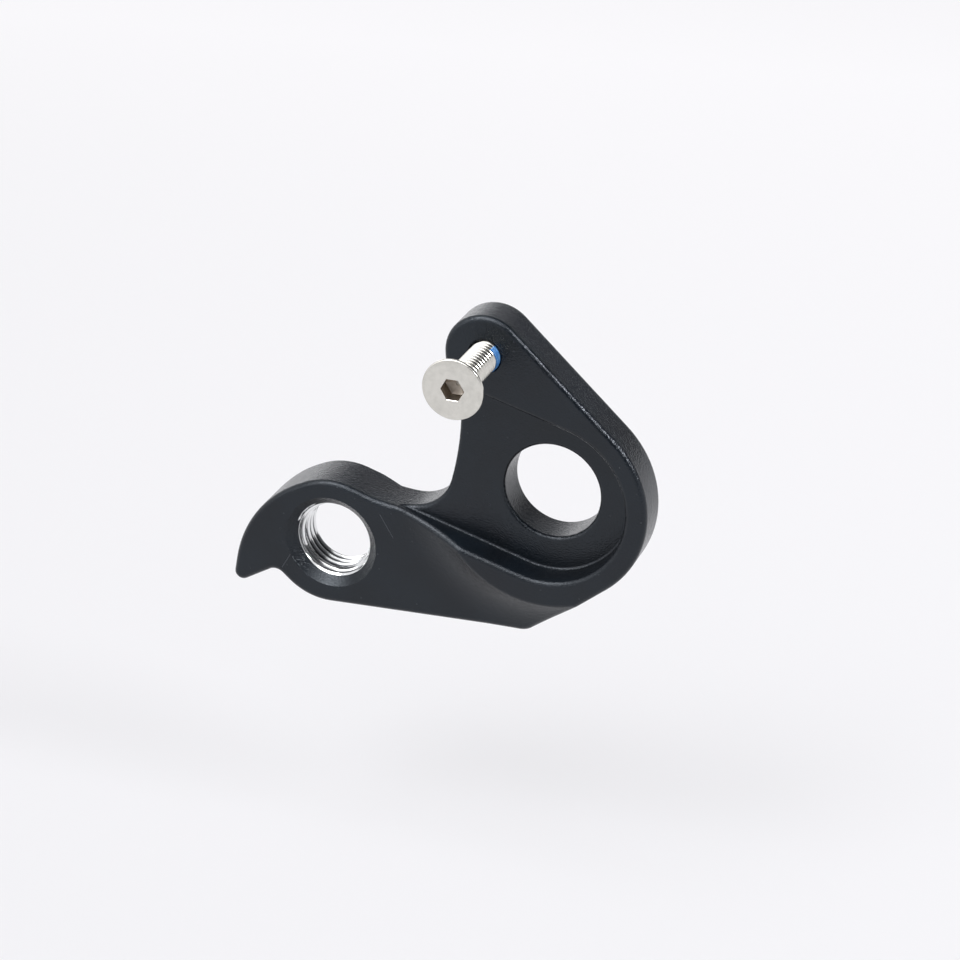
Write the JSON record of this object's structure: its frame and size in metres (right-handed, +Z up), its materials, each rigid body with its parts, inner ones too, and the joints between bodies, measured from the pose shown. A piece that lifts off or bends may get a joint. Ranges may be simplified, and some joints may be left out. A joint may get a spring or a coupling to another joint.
{
  "type": "bicycle derailleur hanger",
  "caption": "Machined black plate with a rounded hub seat, a clear axle hole, a short arm with a fine-threaded hole and stop tab for a rear derailleur, and a countersunk fixing screw.",
  "frame": {"origin": "on the axle's axis, on the floor of the hub seat", "axes": "-Y along the axle towards the wheel, +X along the straight lower edge towards the axle end, +Z up from that edge to the screw's lobe"},
  "size_m": [0.058, 0.021, 0.0437],
  "materials": {
    "anodised_aluminium": "black anodised, bead-blasted satin, with the thread left bare",
    "stainless_steel": "plain stainless steel, with a blue thread-lock patch near the tip"
  },
  "bodies": {
    "root": {"hanger": "anodised_aluminium", "fixing_screw": "stainless_steel"}
  },
  "joints": []
}
